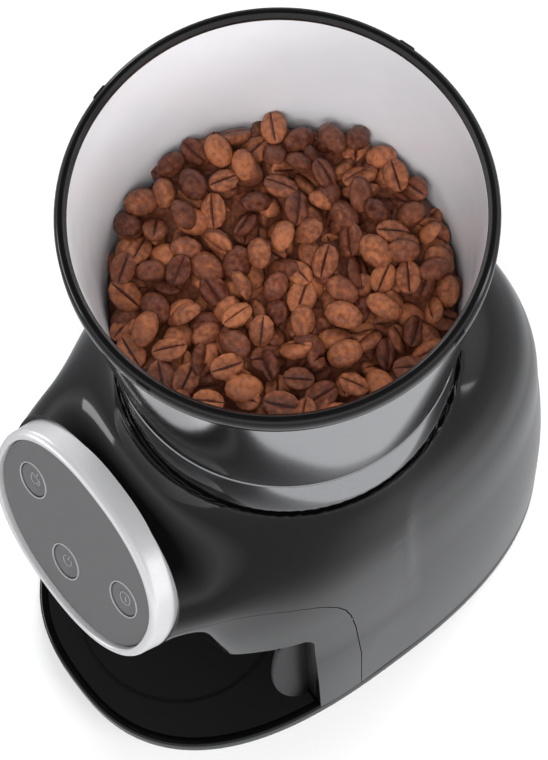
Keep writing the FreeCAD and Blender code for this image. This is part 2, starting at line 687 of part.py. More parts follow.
def make_gearbox():
    axis, rear = size("axis_y"), motor_y()
    low, plate, top = size("gearbox_low"), size("gearbox_plate"), size("gearbox_top")
    tip = size("gear_module") * (size("gear_teeth") / 2 + 1)
    room = tip + 1.5
    lobe = size("gear_module") * (size("pinion_teeth") / 2 + 1) + 14
    bearing = size("bearing_radius")
    base = slab(dome_slice(low, size("shell_wall") + 3.0), plate)
    base = base.common(block(-200, 200, axis - 20, 200, low, low + plate))
    base = base.fuse(rod(room + 2, low, low + plate, 0, axis))
    base = base.fuse(rod(bearing + 3, low - 3, low + 1, 0, axis))
    base = base.cut(rod(bearing, low - 4, low + plate + 1, 0, axis))
    base = base.cut(rod(size("motor_shaft_radius") + 4, low - 1, low + plate + 1, 0, rear))
    for x in (-16.0, 16.0):
        base = base.cut(rod(1.6, low - 1, low + plate + 1, x, rear))
    for x in (-34.0, 34.0):
        base = base.cut(rod(1.4, low - 1, low + plate + 1, x, rear - 16))
    formed("gearbox_base", base)
    floor = low + plate
    shell = rod(room + 2, floor, top, 0, axis).fuse(rod(lobe + 2, floor, top, 0, rear))
    cavity = rod(room, floor - 1, top - 2.2, 0, axis)
    cavity = cavity.fuse(rod(lobe, floor - 1, top - 2.2, 0, rear))
    cover = shell.cut(cavity).cut(rod(bearing + 4, floor, top + 1, 0, axis))
    for x in (-34.0, 34.0):
        ear = rod(5, floor, floor + 5, x, rear - 16).cut(cavity)
        cover = cover.fuse(ear).cut(rod(1.4, floor - 1, floor + 6, x, rear - 16))
        cover = cover.cut(rod(3.1, floor + 5, top, x, rear - 16))
        post = rod(4, top - 0.5, size("chamber_floor"), x * 1.33, axis + 12)
        leg = rod(4, floor, top, x * 1.33, axis + 12)
        cover = cover.fuse(leg.fuse(post)).cut(rod(1.4, top - 6, 200, x * 1.33, axis + 12))
    formed("gearbox_cover", cover)
    screws = []
    for x in (-34.0, 34.0):
        screw = rod(2.8, floor + 5, floor + 7, x, rear - 16)
        screws.append(screw.fuse(rod(1.3, low - 1, floor + 5.5, x, rear - 16)))
    formed("gearbox_screws", Part.makeCompound(screws))
    screws = []
    for x in (-34.0, 34.0):
        head = size("chamber_floor") + 4
        screw = rod(2.5, head, head + 2, x * 1.33, axis + 12)
        screws.append(screw.fuse(rod(1.3, top - 5, head + 0.5, x * 1.33, axis + 12)))
    formed("chamber_screws", Part.makeCompound(screws))
    screws = []
    for x in (-16.0, 16.0):
        screw = rod(2.8, floor, floor + 1.6, x, rear)
        screws.append(screw.fuse(rod(1.5, size("motor_top") - 1.5, floor + 0.5, x, rear)))
    formed("motor_screws", Part.makeCompound(screws))


def make_shafts():
    bore, race = S["shaft_radius"], S["bearing_radius"]
    for label, low in (("lower_bearing", S["gearbox_low"] - 3),
                       ("upper_bearing", S["chamber_floor"] - 4)):
        high = low + S["bearing_tall"]
        turned(label, [(bore + 0.05, low), (race, low), (race, high), (bore + 0.05, high)])
    cone_top = S["carrier_end"] - 2 + S["cone_tall"]
    low = S["gearbox_low"] - 3
    turned("burr_shaft", [(0, low), (bore, low), (bore, cone_top), (0, cone_top)])


def make_motor():
    y = linked_motor_y()
    top, low = S["motor_top"], S["motor_top"] - S["motor_tall"]
    radius, wall, shaft = S["motor_radius"], S["motor_wall"], S["motor_shaft_radius"]
    can = rod(radius.value, low.value, top.value, 0, y.value)
    can = can.cut(rod(radius.value - wall.value, low.value - 1, top.value - wall.value, 0, y.value))
    can = can.cut(rod(shaft.value + 3, low.value, top.value + 1, 0, y.value))
    for x in (-16.0, 16.0):
        can = can.cut(rod(1.5, low.value, top.value + 1, x, y.value))
    formed("motor_can", can)
    cap = S["cap_tall"]
    turned("motor_end_cap", [
        (shaft + 0.2, low - cap), (radius - 5, low - cap), (radius, low - cap + 5), (radius, low),
        (radius - wall - 0.2, low), (radius - wall - 0.2, low + 3), (radius - wall - 3, low + 3),
        (radius - wall - 3, low - cap + 3), (shaft + 0.2, low - cap + 3)], y=y)
    turned("motor_magnet", [
        (S["armature_radius"] + 0.8, low + 12), (radius - wall, low + 12),
        (radius - wall, top - 14), (S["armature_radius"] + 0.8, top - 14)], y=y)
    turned("motor_armature", [
        (shaft, low + 10), (S["armature_radius"], low + 10), (S["armature_radius"], top - 16),
        (shaft, top - 16)], y=y)
    turned("motor_isolator", [
        (shaft + 8, top), (radius - 15, top), (radius - 15, S["gearbox_low"]),
        (shaft + 8, S["gearbox_low"])], y=y)
    end = S["gear_low"] + S["gear_tall"] + 1
    turned("motor_shaft", [(0, low - cap + 1), (shaft, low - cap + 1), (shaft, end), (0, end)], y=y)


# --- boards, cord inlet and small parts ----------------------------------

def make_electrics():
    low, thick = S["power_z"], S["board_thick"]
    front = S["seat_y"] + S["liner_radius"] + S["liner_wall"] + 8
    padded("power_board", [(-28, 0), (28, 0), (28, 54), (-28, 54)], thick, y=front, z=low)
    y, z = front.value, low.value + thick.value
    blocks = [block(-26, -8, y + 6, y + 26, z, z + 12), block(4, 24, y + 6, y + 20, z, z + 9),
              rod(6, z, z + 12, 18, y + 40), rod(6, z, z + 12, -16, y + 42)]
    formed("board_components", Part.makeCompound(blocks))
    floor = size("foot_high") + size("plate_thick")
    feet = [rod(3, floor, low.value, x, y + dy) for x in (-24, 24) for dy in (4, 50)]
    formed("board_standoffs", Part.makeCompound(feet))
    radius, back = size("inlet_radius"), size("foot_half_y") - 0.8
    place_z = size("inlet_z")
    out, way = Vector(0, back - 9, place_z), Vector(0, 1, 0)
    sleeve = Part.makeCylinder(radius - 1.0, 9, out, way)
    sleeve = sleeve.fuse(Part.makeCylinder(radius + 1.5, 2.4, out, way))
    bore = Part.makeCylinder(size("cord_bore"), 20, Vector(0, back - 15, place_z), way)
    formed("cord_grommet", sleeve.cut(bore))
    axis, radius = size("axis_y"), size("chamber_radius")
    box = block(radius - 0.6, radius + 6.4, axis - 8, axis + 8, 184, 196)
    box = box.cut(rod(radius, 180, 200, 0, axis))
    lever = block(radius + 1.5, radius + 3.5, axis - 2, axis + 2, 195.5, 200)
    formed("interlock_switch", box.fuse(lever))


def build():
    make_base()
    make_posts()
    make_shells()
    make_panel()
    make_buttons()
    make_hopper()
    make_chamber()
    make_burrs()
    make_gears()
    make_gearbox()
    make_shafts()
    make_motor()
    make_electrics()
    doc.recompute()


def check_and_write():
    for item in doc.Objects:
        if "Invalid" in item.State or "Error" in item.State:
            raise RuntimeError("%s did not build: %s" % (item.Label, item.State))
    for piece in PIECES:
        if piece.Shape.isNull() or not piece.Shape.isValid():
            raise RuntimeError("%s has no valid shape" % piece.Label)
        if not piece.Shape.Solids:
            raise RuntimeError("%s has no solid" % piece.Label)
    os.makedirs("parts", exist_ok=True)
    for piece in PIECES:
        piece.Shape.exportStep(os.path.join("parts", piece.Label + ".step"))
        print("%-18s %8.1f cm3 %d" % (piece.Label, piece.Shape.Volume / 1000,
                                      len(piece.Shape.Solids)))


build()
check_and_write()
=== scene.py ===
# %% [markdown]
# # Burr coffee grinder, dressed for its portrait
# The working model is already made: every gear, shell and button is there, in
# metres. This lesson gives each piece the surface that the real one has, and
# rebuilds the outside pieces whose curves catch the light.

# %% Load the working model
import json
import math

import bpy
import numpy as np
from mathutils import Matrix, Vector


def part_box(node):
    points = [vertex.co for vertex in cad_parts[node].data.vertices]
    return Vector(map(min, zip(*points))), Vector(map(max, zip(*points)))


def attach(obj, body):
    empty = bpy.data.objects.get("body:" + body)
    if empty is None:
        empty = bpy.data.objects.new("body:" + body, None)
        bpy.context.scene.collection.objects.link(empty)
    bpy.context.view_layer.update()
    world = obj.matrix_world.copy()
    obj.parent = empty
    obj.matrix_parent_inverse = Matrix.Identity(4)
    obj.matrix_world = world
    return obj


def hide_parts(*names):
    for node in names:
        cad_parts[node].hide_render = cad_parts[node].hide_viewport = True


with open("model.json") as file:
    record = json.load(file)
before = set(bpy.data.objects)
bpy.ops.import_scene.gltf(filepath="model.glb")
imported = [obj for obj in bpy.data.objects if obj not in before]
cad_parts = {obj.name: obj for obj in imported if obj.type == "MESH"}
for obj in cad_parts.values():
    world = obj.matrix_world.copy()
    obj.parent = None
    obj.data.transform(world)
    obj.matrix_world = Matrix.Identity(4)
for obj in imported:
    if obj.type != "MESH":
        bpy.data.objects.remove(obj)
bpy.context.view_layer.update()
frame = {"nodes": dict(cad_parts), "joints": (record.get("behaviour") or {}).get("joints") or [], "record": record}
nodes = frame["nodes"]
MM = 0.001

# %% [markdown]
# ## Where things are
# All round parts share one upright axis, and the panel has a tilted frame of
# its own. Both are read from the model, so the looks follow the design.

# %% Axis and panel frame
band_low, band_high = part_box("band_ring")
AXIS = Vector(((band_low.x + band_high.x) / 2, (band_low.y + band_high.y) / 2, 0))
BAND_R = (band_high.x - band_low.x) / 2
press = next(joint for joint in frame["joints"] if joint["name"] == "left_press")
OUT = -Vector(press["axis"]).normalized()
SIDE = Vector((1, 0, 0))
UP = OUT.cross(SIDE)
# Where the keys' direction meets the bezel's face, in millimetres
PANEL_MID = Vector((0, -85.7, 176.2))
BEZEL_DEEP = 10.0
print("axis", AXIS, "panel normal", OUT)


# %% [markdown]
# ## Small tools
# The first turns the hex colours that painters use into the linear values that
# Blender wants, and the second adds a shader node. The others look after
# meshes. Operators act on whatever is selected, so each one clears the
# selection first and then picks the piece that it is about to change.

# %% Helpers
def colour(text, alpha=1.0):
    parts = [int(text[i:i + 2], 16) / 255 for i in (1, 3, 5)]
    linear = [c / 12.92 if c <= 0.04045 else ((c + 0.055) / 1.055) ** 2.4 for c in parts]
    return (*linear, alpha)


def add(owner, kind, links=(), **settings):
    """Add a node to a material or the world, set its sockets by name and link what feeds it."""
    tree = owner.node_tree
    node = tree.nodes.new(kind)
    for name, value in settings.items():
        label = name.replace("_", " ")
        socket = next((s for s in node.inputs if s.name.lower() == label.lower()), None)
        if socket is not None and not hasattr(node, name):
            socket.default_value = value
        else:
            setattr(node, name, value)
    for source, output, target in links:
        tree.links.new(source.outputs[output], node.inputs[target])
    return node


def deselect():
    if bpy.context.object and bpy.context.object.mode != "OBJECT":
        bpy.ops.object.mode_set(mode="OBJECT")
    bpy.ops.object.select_all(action="DESELECT")


def activate(piece):
    deselect()
    piece.select_set(True)
    bpy.context.view_layer.objects.active = piece


def apply_modifier(piece, kind, **settings):
    activate(piece)
    modifier = piece.modifiers.new(kind.title(), kind)
    for name, value in settings.items():
        setattr(modifier, name, value)
    bpy.ops.object.modifier_apply(modifier=modifier.name)


def mesh_piece(name, points, faces, edges=()):
    """A new object from points in metres."""
    mesh = bpy.data.meshes.new(name)
    mesh.from_pydata([tuple(p) for p in points], list(edges), faces)
    mesh.update()
    piece = bpy.data.objects.new(name, mesh)
    bpy.context.scene.collection.objects.link(piece)
    return piece


def copy_of(piece, name):
    twin = piece.copy()
    twin.data = piece.data.copy()
    twin.name = name
    bpy.context.scene.collection.objects.link(twin)
    return twin


def outward(piece, angle=35):
    """Merge doubles, turn the faces outwards and shade smoothly up to an angle."""
    activate(piece)
    bpy.ops.object.mode_set(mode="EDIT")
    bpy.ops.mesh.select_all(action="SELECT")
    bpy.ops.mesh.remove_doubles(threshold=0.00002)
    bpy.ops.mesh.normals_make_consistent(inside=False)
    bpy.ops.object.mode_set(mode="OBJECT")
    bpy.ops.object.shade_smooth_by_angle(angle=math.radians(angle))


# %% [markdown]
# ## Camera
# The grinder is seen from steeply above, from its right front side, with a
# long lens a little over a metre away, so the rim looms over the body.

# %% Camera
def set_camera():
    distance, roll = 1.1474, math.radians(-4.72)
    azimuth, elevation = math.radians(57.72), math.radians(72.25)
    target = Vector((-0.01565, 0.00862, 0.1393))
    data = bpy.data.cameras.new("portrait_camera")
    data.lens = 154.45
    data.clip_end = 50
    camera = bpy.data.objects.new("portrait_camera", data)
    bpy.context.scene.collection.objects.link(camera)
    away = Vector((math.sin(azimuth) * math.cos(elevation),
                   -math.cos(azimuth) * math.cos(elevation), math.sin(elevation)))
    camera.location = target + away * distance
    turn = (-away).to_track_quat("-Z", "Y").to_matrix() @ Matrix.Rotation(roll, 3, "Z")
    camera.rotation_euler = turn.to_euler()
    bpy.context.scene.camera = camera
    print("camera at", [round(v, 3) for v in camera.location])


set_camera()


# %% [markdown]
# ## Light and floor
# Black gloss plastic shows nothing but reflections, so it is lit by what it
# mirrors: a sky that is dark overhead and bright at the horizon, and three
# soft strips. The three wide panels light the matt pieces only, and the floor
# catches shadows but isn't mirrored, as the sky's lower half stands in for it.

# %% Light and floor
def soft_panel(name, place, target, wide, high, power, seen):
    """A rectangular lamp, in metres and watts; only a seen one shows in the gloss."""
    light = bpy.data.lights.new(name, "AREA")
    light.shape = "RECTANGLE"
    light.size = wide
    light.size_y = high
    light.energy = power
    lamp = bpy.data.objects.new(name, light)
    bpy.context.scene.collection.objects.link(lamp)
    lamp.location = place
    aim = Vector(target) - Vector(place)
    lamp.rotation_euler = aim.to_track_quat("-Z", "Y").to_euler()
    lamp.visible_glossy = seen
    return lamp


def set_sky():
    """Dark overhead, bright at the horizon and middling below, as in a black-ceilinged studio."""
    world = bpy.data.worlds.new("studio")
    world.use_nodes = True
    direction = add(world, "ShaderNodeTexCoord")
    parts = add(world, "ShaderNodeSeparateXYZ", [(direction, "Generated", "Vector")])
    height = add(world, "ShaderNodeMapRange", [(parts, "Z", "Value")], From_Min=-1.0)
    ramp = add(world, "ShaderNodeValToRGB", [(height, "Result", "Fac")])
    stops = [(0.0, "#c2c3c5"), (0.2, "#97989a"), (0.38, "#9fa0a2"), (0.52, "#f2f3f5"),
             (0.68, "#a9aaac"), (0.88, "#1c1c1d"), (1.0, "#161617")]
    while len(ramp.color_ramp.elements) < len(stops):
        ramp.color_ramp.elements.new(0.5)
    for element, (place, shade) in zip(ramp.color_ramp.elements, stops):
        element.position = place
        element.color = colour(shade)
    backdrop = world.node_tree.nodes["Background"]
    backdrop.inputs["Strength"].default_value = 0.9
    world.node_tree.links.new(ramp.outputs["Color"], backdrop.inputs["Color"])
    bpy.context.scene.world = world
    bpy.context.scene.view_settings.view_transform = "Standard"


def set_stage():
    set_sky()
    soft_panel("key_panel", (0.9, -0.9, 2.2), (0, 0, 0.25), 1.3, 1.3, 52, seen=False)
    soft_panel("back_panel", (-0.9, 1.3, 2.0), (0, 0, 0.15), 1.6, 1.6, 46, seen=False)
    soft_panel("side_panel", (2.0, 0.9, 1.0), (0, 0, 0.15), 1.2, 0.9, 24, seen=False)
    soft_panel("left_strip", (-1.9, 0.2, 0.5), (0, 0, 0.25), 0.35, 1.3, 3.6, seen=True)
    soft_panel("right_strip", (1.2, 1.5, 0.5), (0, 0, 0.25), 0.35, 1.3, 3.6, seen=True)
    soft_panel("streak_panel", (-1.0, -1.25, 0.3), (0, -0.05, 0.2), 0.75, 0.3, 2.6, seen=True)
    deselect()
    bpy.ops.mesh.primitive_plane_add(size=12, location=(0, 0, -0.0002))
    floor = bpy.context.object
    floor.name = "floor"
    paint = bpy.data.materials.new("pale_floor")
    paint.use_nodes = True
    shader = paint.node_tree.nodes["Principled BSDF"]
    shader.inputs["Base Color"].default_value = colour("#fbfbfb")
    shader.inputs["Roughness"].default_value = 0.9
    floor.data.materials.append(paint)
    floor.visible_glossy = False
    print("stage set")


set_stage()


# %% [markdown]
# ## Surfaces
# Each finish starts from what the real material is. Moulded plastic has a very
# faint waviness, satin plastic a fine spark-eroded grain, and turned metal has
# rings round its axis.

# %% Surfaces
def blank(name):
    material = bpy.data.materials.new(name)
    material.use_nodes = True
    material.node_tree.nodes.clear()
    return material


def surface(name, base, roughness, spread=0.05, metallic=0.0, ior=1.5, grain_mm=3.0,
            depth_mm=0.01, tint_spread=0.08, stretch=(1, 1, 1)):
    """A solid finish whose colour, roughness and height vary with a noise of real size."""
    material = blank(name)
    place = add(material, "ShaderNodeTexCoord")
    turn = add(material, "ShaderNodeMapping", [(place, "Object", "Vector")], Scale=stretch)
    noise = add(material, "ShaderNodeTexNoise", [(turn, "Vector", "Vector")],
                Scale=1.0 / (grain_mm * MM), Detail=3.0, Roughness=0.55)
    rough = add(material, "ShaderNodeMapRange", [(noise, 0, "Value")],
                From_Min=0.3, From_Max=0.7, To_Min=max(0.02, roughness - spread),
                To_Max=roughness + spread)
    tone = add(material, "ShaderNodeValToRGB", [(noise, 0, "Fac")])
    linear = colour(base)
    tone.color_ramp.elements[0].position = 0.3
    tone.color_ramp.elements[1].position = 0.7
    tone.color_ramp.elements[0].color = (*[c * (1 - tint_spread) for c in linear[:3]], 1)
    tone.color_ramp.elements[1].color = (*[min(1, c * (1 + tint_spread)) for c in linear[:3]], 1)
    bump = add(material, "ShaderNodeBump", [(noise, 0, "Height")], Strength=1.0,
               Distance=depth_mm * MM)
    shader = add(material, "ShaderNodeBsdfPrincipled",
                 [(tone, "Color", "Base Color"), (rough, "Result", "Roughness"),
                  (bump, "Normal", "Normal")],
                 Metallic=metallic, IOR=ior)
    add(material, "ShaderNodeOutputMaterial", [(shader, "BSDF", "Surface")])
    return material


# Piano-black ABS, polished mould: a mirror over black, with the faint
# waviness of a moulding about a centimetre long.
GLOSS = surface("gloss_black_abs", "#080808", 0.08, 0.02, ior=1.54, grain_mm=14, depth_mm=0.004)
# Spark-eroded satin ABS on the tray and in the bay: grain near 0.4 mm.
SATIN = surface("satin_black_abs", "#141415", 0.42, 0.06, ior=1.53, grain_mm=0.5, depth_mm=0.02)
# Silver lacquer on the bezel: fine metal flakes in a clear binder.
BEZEL = surface("silver_lacquered_abs", "#e9e9eb", 0.3, 0.03, metallic=0.45, grain_mm=0.3,
                depth_mm=0.0006, tint_spread=0.03)
# Painted panel and keys with a fine matt lacquer, whose orange peel is near 0.5 mm.
PANEL = surface("grey_panel_lacquer", "#656566", 0.38, 0.04, ior=1.5, grain_mm=0.5, depth_mm=0.006)
# Signs printed on the keys in a matt ink.
PRINT = surface("light_grey_print", "#a4a5a7", 0.4, 0.04, grain_mm=0.3, depth_mm=0.002)
# Mirror-polished stainless steel, spun: rings so fine that they only soften it.
STEEL = surface("polished_stainless", "#d6d6d8", 0.07, 0.02, metallic=1.0, grain_mm=2.5,
                depth_mm=0.001, stretch=(1, 1, 6))
# Smoked copolyester of the rim, so dark that only its polish shows.
SMOKE = surface("smoked_plastic", "#100f0f", 0.14, 0.03, ior=1.55, grain_mm=6, depth_mm=0.004)
# Moulded rubber feet and grommet: matt, with a coarse 0.8 mm bloom.
RUBBER = surface("black_rubber", "#161616", 0.75, 0.08, ior=1.5, grain_mm=0.8, depth_mm=0.03)
# Turned steel shafts and burrs: tool marks under a millimetre apart.
MACHINED = surface("machined_steel", "#9a9b9e", 0.32, 0.06, metallic=1.0, grain_mm=0.8,
                   depth_mm=0.008, stretch=(1, 1, 4))
# Die-cast zinc and aluminium: a dull, slightly pitted skin.
DIECAST = surface("die_cast_alloy", "#a5a6a8", 0.48, 0.08, metallic=1.0, grain_mm=1.5,
                  depth_mm=0.03)
# Natural nylon gears and sleeve: waxy and cream.
NYLON = surface("natural_nylon", "#d9d4c4", 0.45, 0.06, ior=1.53, grain_mm=2.0, depth_mm=0.015)
# Glass-epoxy board under green solder resist, with its weave near 1 mm.
BOARD = surface("circuit_board", "#16502a", 0.35, 0.05, ior=1.5, grain_mm=1.2, depth_mm=0.01)
# Plain grey mouldings that nobody sees.
GREY = surface("grey_moulding", "#3f4042", 0.5, 0.06, ior=1.5, grain_mm=1.0, depth_mm=0.02)
# Sintered ferrite: dull, with a fine grain.
MAGNET = surface("sintered_magnet", "#2c2c2e", 0.6, 0.08, grain_mm=0.7, depth_mm=0.03)


def frosted_plastic():
    """Clear copolyester, frosted inside by its mould: part clear, part milky."""
    material = blank("frosted_copolyester")
    place = add(material, "ShaderNodeTexCoord")
    noise = add(material, "ShaderNodeTexNoise", [(place, "Object", "Vector")],
                Scale=1.0 / (22 * MM), Detail=2.0)
    rough = add(material, "ShaderNodeMapRange", [(noise, 0, "Value")],
                From_Min=0.3, From_Max=0.7, To_Min=0.16, To_Max=0.26)
    tone = add(material, "ShaderNodeValToRGB", [(noise, 0, "Fac")])
    tone.color_ramp.elements[0].color = colour("#f0f0f4")
    tone.color_ramp.elements[1].color = colour("#fafafd")
    bump = add(material, "ShaderNodeBump", [(noise, 0, "Height")], Strength=1.0,
               Distance=0.004 * MM)
    shader = add(material, "ShaderNodeBsdfPrincipled",
                 [(tone, "Color", "Base Color"), (rough, "Result", "Roughness"),
                  (bump, "Normal", "Normal")],
                 IOR=1.57, Transmission_Weight=0.12)
    add(material, "ShaderNodeOutputMaterial", [(shader, "BSDF", "Surface")])
    return material


CLEAR = frosted_plastic()
print("surfaces", len(bpy.data.materials))


# %% [markdown]
# ## Body shell
# The shell is one flowing form: a domed column that swells forward into a
# short snout for the panel. Two simple solids are described by how far a point
# is outside each, the two are blended, and a net of points is drawn from the
# middle out to where the blend reaches zero. That gives the soft, unbroken
# curve that glossy plastic needs.

# %% Body shell: the form
def eased(rows, at):
    """Smooth values between given rows, with no corner at any row."""
    rows = np.array(rows, float)
    x = rows[:, 0]
    at = np.clip(at, x[0], x[-1])
    slopes = np.gradient(rows[:, 1:], x, axis=0)
    i = np.clip(np.searchsorted(x, at) - 1, 0, len(x) - 2)
    step = (x[i + 1] - x[i])
    t = ((at - x[i]) / step)[:, None]
    step = step[:, None]
    return ((2 * t**3 - 3 * t**2 + 1) * rows[i, 1:] + (t**3 - 2 * t**2 + t) * step * slopes[i]
            + (-2 * t**3 + 3 * t**2) * rows[i + 1, 1:] + (t**3 - t**2) * step * slopes[i + 1])


shell_low, shell_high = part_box("main_shell")
skirt_low, skirt_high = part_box("base_skirt")
half_x, back = skirt_high.x / MM, skirt_high.y / MM
flank = half_x - 0.1
low, top = shell_low.z / MM, shell_high.z / MM
neck, axis_y = BAND_R / MM + 0.9, AXIS.y / MM
tall = top - low
front = axis_y - neck - 17.0
# height, half width, front, back, widest line, front power, back power
COLUMN = [
    (low, half_x, front, back, 0.0, 3.4, 2.5),
    (low + 0.23 * tall, half_x, front, back - 1.0, 0.0, 3.1, 2.5),
    (low + 0.52 * tall, half_x - 1.0, front, back - 6.0, 0.0, 2.6, 2.5),
    (low + 0.76 * tall, half_x - 2.7, front + 10.5, back - 12.5, 0.9, 2.8, 2.5),
    (low + 0.87 * tall, half_x - 4.6, front + 13.0, back - 19.5, 2.2, 2.5, 2.4),
    (low + 0.95 * tall, half_x - 7.2, front + 15.5, back - 30.0, 3.6, 2.2, 2.2),
    (top, neck, axis_y - neck, axis_y + neck, axis_y, 2.0, 2.0),
]
# distance forward, half width, rise above and drop below the middle, its height, lower power
SNOUT = [
    (-96.0, 43.5, 30.1, 30.1, 172.0, 2.35),
    (-76.0, 44.7, 30.4, 30.6, 172.0, 2.4),
    (-68.0, 47.6, 31.5, 36.0, 171.0, 2.7),
    (-62.0, 49.8, 33.5, 75.0, 169.5, 3.1),
    (-50.0, 53.3, 41.0, 85.0, 167.0, 3.4),
    (-34.0, 58.0, 48.5, 90.0, 165.5, 3.4),
    (-5.0, 60.0, 54.0, 95.0, 165.0, 3.4),
]


def column_gap(p):
    row = eased(COLUMN, p[:, 2])
    along = p[:, 1] - row[:, 3]
    behind = along > 0
    reach = np.where(behind, row[:, 2] - row[:, 3], row[:, 3] - row[:, 1])
    power = np.where(behind, row[:, 5], row[:, 4])
    size = (np.abs(p[:, 0] / row[:, 0])**power + np.abs(along / reach)**power)**(1 / power)
    return (size - 1) * 0.5 * (row[:, 0] + reach)


def snout_gap(p):
    row = eased(SNOUT, p[:, 1])
    below = p[:, 2] < row[:, 3]
    power = np.where(below, row[:, 4], 2.35)
    reach = np.where(below, row[:, 2], row[:, 1])
    size = (np.abs(p[:, 0] / row[:, 0])**power
            + np.abs((p[:, 2] - row[:, 3]) / reach)**power)**(1 / power)
    around = (size - 1) * 0.5 * (row[:, 0] + row[:, 1])
    return np.maximum(around, p[:, 1])


def body_gap(p):
    """Blend of the two forms; the blend rounds the crease over about 14 mm."""
    a, b = column_gap(p), snout_gap(p)
    soft = 14.0
    share = np.clip(0.5 + 0.5 * (b - a) / soft, 0, 1)
    return b * (1 - share) + a * share - soft * share * (1 - share) * 0.9


def body_net(turns=220, levels=144, halvings=34):
    """Points on the blend's surface, found along rays from a point deep inside it."""
    centre = np.array([0.0, -20.0, 148.0])
    around = np.linspace(0, 2 * np.pi, turns, endpoint=False)
    rise = np.radians(np.linspace(-67, 69, levels))
    rays = np.array([[math.cos(e) * math.sin(a), math.cos(e) * math.cos(a), math.sin(e)]
                     for e in rise for a in around])
    near, far = np.full(len(rays), 20.0), np.full(len(rays), 260.0)
    for _ in range(halvings):
        middle = (near + far) / 2
        inside = body_gap(centre + rays * middle[:, None]) < 0
        near = np.where(inside, middle, near)
        far = np.where(inside, far, middle)
    points = (centre + rays * near[:, None]) * MM
    points[:, 0] = points[:, 0].clip(-flank * MM, flank * MM)
    faces = [(j * turns + i, (j + 1) * turns + i, (j + 1) * turns + (i + 1) % turns,
              j * turns + (i + 1) % turns)
             for j in range(levels - 1) for i in range(turns)]
    return mesh_piece("body_form", points, faces)


form = body_net()
print("body form points", len(form.data.vertices))


# %% [markdown]
# The form is then trimmed by flat cuts, as a moulding is by its tool: level at
# the base and the neck, and along the panel's own plane. Solidify gives it the
# wall of a real moulding before the parting line is cut, and a closed copy is
# kept aside to cut the bay's ceiling from.

# %% Body shell: cuts and wall
def slice_off(piece, point, normal):
    activate(piece)
    bpy.ops.object.mode_set(mode="EDIT")
    bpy.ops.mesh.select_all(action="SELECT")
    bpy.ops.mesh.bisect(plane_co=point, plane_no=normal, clear_outer=True)
    bpy.ops.object.mode_set(mode="OBJECT")


slice_off(form, (0, 0, shell_high.z), (0, 0, 1))
slice_off(form, (0, 0, shell_low.z), (0, 0, -1))
slice_off(form, PANEL_MID * MM - OUT * (BEZEL_DEEP - 2.0) * MM, OUT)
outward(form)
solid = copy_of(form, "closed_form")
activate(solid)
bpy.ops.object.mode_set(mode="EDIT")
bpy.ops.mesh.select_mode(type="EDGE")
bpy.ops.mesh.select_all(action="DESELECT")
bpy.ops.mesh.select_non_manifold(extend=False)
bpy.ops.mesh.fill_holes(sides=0)
bpy.ops.object.mode_set(mode="OBJECT")
outward(solid)
apply_modifier(form, "SOLIDIFY", thickness=2.2 * MM, offset=-1.0)
print("closed form faces", len(solid.data.polygons))


def prism(name, outline, half_width):
    """A cutter: an outline in the YZ plane, drawn out to both sides."""
    count = len(outline)
    points = [(side * half_width, y, z) for side in (-1, 1) for y, z in outline]
    faces = [tuple(range(count)), tuple(range(2 * count - 1, count - 1, -1))]
    faces += [(i, i + count, (i + 1) % count + count, (i + 1) % count) for i in range(count)]
    cutter = mesh_piece(name, points, faces)
    outward(cutter)
    return cutter


def cut(piece, cutter, operation):
    apply_modifier(piece, "BOOLEAN", operation=operation, object=cutter, solver="EXACT")


# y and z of the parting line: up the side, round a wide knee, then along the snout
PARTING = [(-15.5, -20.0), (-15.5, 60.0), (-17.4, 104.0), (-19.4, 126.0), (-21.5, 138.2),
           (-24.4, 147.3), (-28.2, 154.7), (-32.0, 159.6), (-37.0, 163.3), (-45.0, 166.3),
           (-60.0, 168.6), (-90.0, 174.4)]
BAY_TOP = 118.0
CEILING = 2.4
# Cutters reach this far forward and this low, well past the body
AHEAD, BELOW = -160.0, -20.0


def parting_outline(grow):
    points = [(y + grow, z + grow) for y, z in PARTING]
    points += [(AHEAD, points[-1][1] + 15.0), (AHEAD, BELOW)]
    return [(y * MM, z * MM) for y, z in points]


def bay_cutter():
    """The space of the bay, with a rounded top corner at its open front."""
    outline = [(-33.5, BELOW), (-33.5, BAY_TOP - 8), (-34.4, BAY_TOP - 3.4), (-36.6, BAY_TOP),
               (-36.6, BAY_TOP + 0.01), (AHEAD, BAY_TOP + 0.01), (AHEAD, BELOW)]
    return prism("bay_cutter", [(y * MM, z * MM) for y, z in outline], 0.2)


def cut_inlet():
    """A round hole at the back for the lead's grommet, whose flange covers its edge."""
    low_corner, high_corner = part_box("cord_grommet")
    middle = (low_corner + high_corner) / 2
    hole_r = (high_corner.x - low_corner.x) / 2 - 1.2 * MM
    deselect()
    bpy.ops.mesh.primitive_cylinder_add(vertices=64, radius=hole_r, depth=40 * MM, location=middle,
                                        rotation=(math.radians(90), 0, 0))
    drill = bpy.context.object
    cut(form, drill, "DIFFERENCE")
    bpy.data.objects.remove(drill)
    print("inlet at", [round(v / MM, 1) for v in middle])


